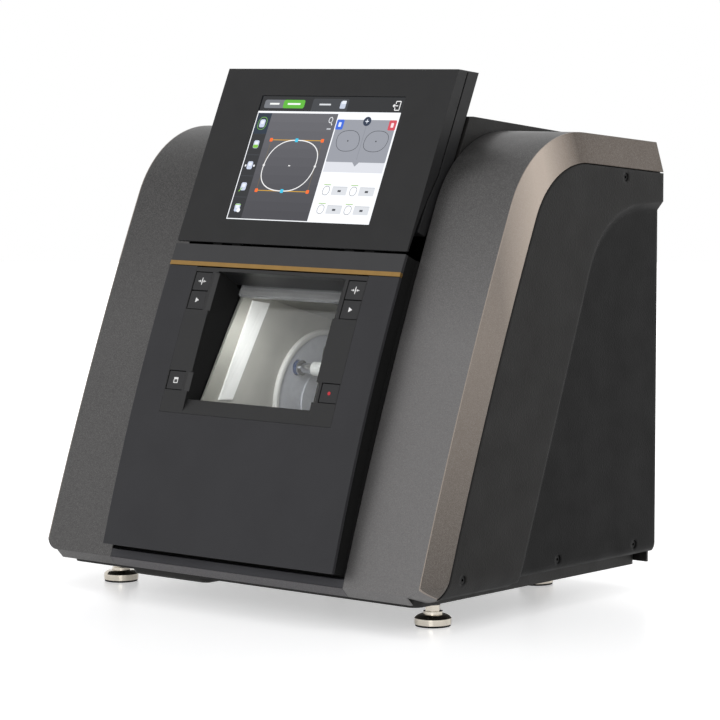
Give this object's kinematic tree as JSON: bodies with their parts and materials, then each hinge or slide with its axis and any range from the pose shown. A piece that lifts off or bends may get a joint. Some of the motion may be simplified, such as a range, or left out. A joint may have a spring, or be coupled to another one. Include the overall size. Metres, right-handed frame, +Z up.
{
  "type": "lens_edger",
  "caption": "Automatic table-top lens edger with a tilting touch display, a sliding chamber door, lens clamping shafts on a swinging carriage and belt-driven grinding wheels",
  "frame": {"origin": "Middle of the footprint on the table, under the feet", "axes": "X to the viewer's right, Y to the back, Z up; the front faces -Y"},
  "size_m": [0.57, 0.4399, 0.5914],
  "materials": {
    "wing_grey": "satin metallic",
    "cover_black": "fine texture",
    "panel_graphite": "fine grain",
    "header_grey": "satin",
    "trim_gold": "brushed",
    "black_plastic": "matt",
    "bezel_black": "satin",
    "button_black": "matt",
    "screen_glass": "gloss",
    "nickel": "polished",
    "zinc_steel": "satin",
    "shaft_steel": "ground",
    "chamber_white": "satin",
    "disc_blue_grey": "satin",
    "light_white": "diffuse",
    "door_clear": "tinted clear",
    "abrasive": "sintered grit",
    "motor_cast": "cast",
    "frame_aluminium": "machined",
    "belt_rubber": "matt",
    "foot_rubber": "matt",
    "cup_white": "satin",
    "screw_black": "black oxide"
  },
  "bodies": {
    "root": {"base_pan": "zinc_steel", "levelling_feet": "nickel", "foot_rubbers": "foot_rubber", "foot_studs": "zinc_steel", "left_wing_cover": "wing_grey", "right_wing_cover": "wing_grey", "left_side_cover": "cover_black", "right_side_cover": "cover_black", "side_cover_screws": "screw_black", "front_sill": "header_grey", "chin_strip": "panel_graphite", "front_frame": "black_plastic", "front_panel": "panel_graphite", "gold_trim": "trim_gold", "header_band": "header_grey", "window_bezel": "bezel_black", "door_rails": "black_plastic", "chamber_shell": "chamber_white", "chamber_left_wall": "chamber_white", "chamber_right_wall": "chamber_white", "chamber_light": "light_white", "spindle_housing": "frame_aluminium", "spindle_bearings": "shaft_steel", "drive_belt": "belt_rubber", "grinding_motor": "motor_cast", "inner_frame": "zinc_steel", "guide_rods": "shaft_steel", "hinge_brackets": "zinc_steel", "hinge_pins": "shaft_steel", "top_cover": "cover_black", "rear_cover": "cover_black", "power_inlet": "black_plastic", "water_fittings": "nickel"},
    "display": {"display_bezel": "bezel_black", "display_screen": "screen_glass", "display_rear_shell": "bezel_black"},
    "door": {"sliding_door": "door_clear", "door_handle": "panel_graphite"},
    "key_clamp_left": {"button_clamp_left": "button_black"},
    "key_start_left": {"button_start_left": "button_black"},
    "key_door_left": {"button_door_left": "button_black"},
    "key_clamp_right": {"button_clamp_right": "button_black"},
    "key_start_right": {"button_start_right": "button_black"},
    "key_stop_right": {"button_stop_right": "button_black"},
    "traverse": {"traverse_yoke": "frame_aluminium"},
    "carriage": {"carriage_frame": "frame_aluminium"},
    "left_spindle": {"left_lens_shaft": "shaft_steel", "left_lens_cup": "cup_white"},
    "right_clamp": {"right_quill": "frame_aluminium"},
    "right_spindle": {"right_lens_shaft": "shaft_steel", "right_lens_pad": "foot_rubber"},
    "left_disc": {"left_seal_disc": "disc_blue_grey"},
    "right_disc": {"right_seal_disc": "disc_blue_grey"},
    "wheel_set": {"wheel_spindle": "shaft_steel", "roughing_wheel": "abrasive", "bevel_wheel": "abrasive", "polishing_wheel": "abrasive"},
    "motor_rotor": {"motor_pulley": "frame_aluminium"},
    "feeler": {"feeler_arm": "screw_black"},
    "rocker": {"power_rocker": "black_plastic"}
  },
  "joints": [
    {"name": "display_tilt", "type": "hinge", "parent": "root", "child": "display", "pos_m": [0, -0.08279, 0.40233], "axis": [1, 0, 0], "range_deg": [0, 15]},
    {"name": "door_slide", "type": "slide", "parent": "root", "child": "door", "axis": [0, 0.509, 0.8607], "range_m": [0, 0.1]},
    {"name": "press_clamp_left", "type": "slide", "parent": "root", "child": "key_clamp_left", "axis": [0, 0.917, -0.3989], "range_m": [0, 0.0012], "stiffness_N_per_m": 400, "springref_m": -0.0012},
    {"name": "press_start_left", "type": "slide", "parent": "root", "child": "key_start_left", "axis": [0, 0.9207, -0.3902], "range_m": [0, 0.0012], "stiffness_N_per_m": 400, "springref_m": -0.0012},
    {"name": "press_door_left", "type": "slide", "parent": "root", "child": "key_door_left", "axis": [0, 0.9356, -0.3529], "range_m": [0, 0.0012], "stiffness_N_per_m": 400, "springref_m": -0.0012},
    {"name": "press_clamp_right", "type": "slide", "parent": "root", "child": "key_clamp_right", "axis": [0, 0.917, -0.3989], "range_m": [0, 0.0012], "stiffness_N_per_m": 400, "springref_m": -0.0012},
    {"name": "press_start_right", "type": "slide", "parent": "root", "child": "key_start_right", "axis": [0, 0.9207, -0.3902], "range_m": [0, 0.0012], "stiffness_N_per_m": 400, "springref_m": -0.0012},
    {"name": "press_stop_right", "type": "slide", "parent": "root", "child": "key_stop_right", "axis": [0, 0.9356, -0.3529], "range_m": [0, 0.0012], "stiffness_N_per_m": 400, "springref_m": -0.0012},
    {"name": "traverse_slide", "type": "slide", "parent": "root", "child": "traverse", "axis": [1, 0, 0], "range_m": [0, 0.07]},
    {"name": "carriage_swing", "type": "hinge", "parent": "traverse", "child": "carriage", "pos_m": [0, 0.069, 0.2], "axis": [1, 0, 0], "range_deg": [0, 40]},
    {"name": "left_shaft_spin", "type": "hinge", "parent": "carriage", "child": "left_spindle", "pos_m": [-0.15, 0.0255, 0.2445], "axis": [1, 0, 0], "continuous": true},
    {"name": "right_clamp_slide", "type": "slide", "parent": "carriage", "child": "right_clamp", "axis": [-1, 0, 0], "range_m": [0, 0.052]},
    {"name": "right_shaft_spin", "type": "hinge", "parent": "right_clamp", "child": "right_spindle", "pos_m": [0.18, 0.0255, 0.2445], "axis": [1, 0, 0], "continuous": true},
    {"name": "left_disc_turn", "type": "hinge", "parent": "root", "child": "left_disc", "pos_m": [-0.095, 0.069, 0.2], "axis": [1, 0, 0], "range_deg": [0, 40]},
    {"name": "right_disc_turn", "type": "hinge", "parent": "root", "child": "right_disc", "pos_m": [0.095, 0.069, 0.2], "axis": [1, 0, 0], "range_deg": [0, 40]},
    {"name": "wheel_spin", "type": "hinge", "parent": "root", "child": "wheel_set", "pos_m": [0.11, -0.04, 0.15], "axis": [1, 0, 0], "continuous": true},
    {"name": "motor_spin", "type": "hinge", "parent": "root", "child": "motor_rotor", "pos_m": [0.15, 0.062, 0.095], "axis": [1, 0, 0], "continuous": true},
    {"name": "feeler_swing", "type": "hinge", "parent": "root", "child": "feeler", "pos_m": [-0.04, 0.076, 0.276], "axis": [1, 0, 0], "range_deg": [0, 15]},
    {"name": "rocker_tilt", "type": "hinge", "parent": "root", "child": "rocker", "pos_m": [-0.14, 0.211, 0.092], "axis": [1, 0, 0], "range_deg": [0, 9]}
  ],
  "couplings": [
    {"joint": "left_disc_turn", "follows": "carriage_swing", "ratio": 1},
    {"joint": "right_disc_turn", "follows": "carriage_swing", "ratio": 1},
    {"joint": "right_shaft_spin", "follows": "left_shaft_spin", "ratio": 1},
    {"joint": "motor_spin", "follows": "wheel_spin", "ratio": 0.71429}
  ]
}
